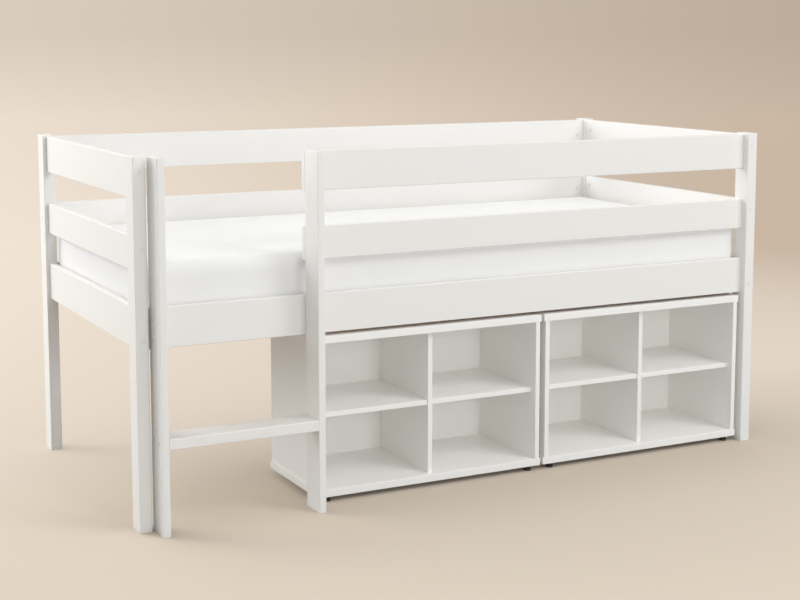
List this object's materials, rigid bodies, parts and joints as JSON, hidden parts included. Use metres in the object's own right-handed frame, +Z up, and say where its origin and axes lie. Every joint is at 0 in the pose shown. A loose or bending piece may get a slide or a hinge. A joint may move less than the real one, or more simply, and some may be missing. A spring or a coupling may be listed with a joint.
{
  "type": "mid sleeper bed",
  "caption": "Child's mid sleeper bed in white-painted wood: railed slatted bed on tall posts, plank ladder, mattress, and open cube storage units that pull out below.",
  "frame": {"origin": "on the floor, in the middle of the footprint over the ladder's front and the back posts", "axes": "+X along the bed, from the ladder end to the far end; +Y from the ladder side to the back; +Z up"},
  "size_m": [2.0938, 1.0594, 1.02],
  "materials": {
    "white_paint": "satin",
    "white_board": "satin",
    "bare_pine": "matte",
    "beech_dowel": "matte",
    "webbing": "matte",
    "zinc_steel": "satin",
    "white_cap": "satin",
    "mattress_cover": "matte",
    "black_glide": "matte"
  },
  "bodies": {
    "bed": {"post_front_left": "white_paint", "post_front_right": "white_paint", "post_back_left": "white_paint", "post_back_right": "white_paint", "left_end_top_rail": "white_paint", "left_end_mid_rail": "white_paint", "left_end_low_rail": "white_paint", "right_end_top_rail": "white_paint", "right_end_mid_rail": "white_paint", "right_end_low_rail": "white_paint", "back_top_rail": "white_paint", "back_mid_rail": "white_paint", "back_low_rail": "white_paint", "front_low_rail": "white_paint", "guard_top_rail": "white_paint", "guard_mid_rail": "white_paint", "ladder_upright_left": "white_paint", "ladder_upright_right": "white_paint", "ladder_tread": "white_paint", "slat_bearer_front": "bare_pine", "slat_bearer_back": "bare_pine", "slats": "bare_pine", "slat_webbing": "webbing", "rail_bolts": "zinc_steel", "rail_barrel_nuts": "zinc_steel", "rail_dowels": "beech_dowel", "cover_caps": "white_cap", "ladder_bolts": "zinc_steel", "ladder_barrel_nuts": "zinc_steel", "tread_screws": "zinc_steel", "bearer_screws": "zinc_steel"},
    "mattress": {"mattress": "mattress_cover"},
    "left_cube_unit": {"left_unit_top": "white_board", "left_unit_bottom": "white_board", "left_unit_left_side": "white_board", "left_unit_right_side": "white_board", "left_unit_divider": "white_board", "left_unit_left_shelf": "white_board", "left_unit_right_shelf": "white_board", "left_unit_back": "white_board", "left_unit_dowels": "beech_dowel", "left_unit_glides": "black_glide"},
    "right_cube_unit": {"right_unit_top": "white_board", "right_unit_bottom": "white_board", "right_unit_left_side": "white_board", "right_unit_right_side": "white_board", "right_unit_divider": "white_board", "right_unit_left_shelf": "white_board", "right_unit_right_shelf": "white_board", "right_unit_back": "white_board", "right_unit_dowels": "beech_dowel", "right_unit_glides": "black_glide"}
  },
  "joints": [
    {"name": "mattress_lift", "type": "slide", "parent": "bed", "child": "mattress", "axis": [0, 0, 1], "range_m": [0, 0.44]},
    {"name": "left_unit_pull", "type": "slide", "parent": "bed", "child": "left_cube_unit", "axis": [0, -1, 0], "range_m": [0, 0.46]},
    {"name": "right_unit_pull", "type": "slide", "parent": "bed", "child": "right_cube_unit", "axis": [0, -1, 0], "range_m": [0, 0.46]}
  ]
}
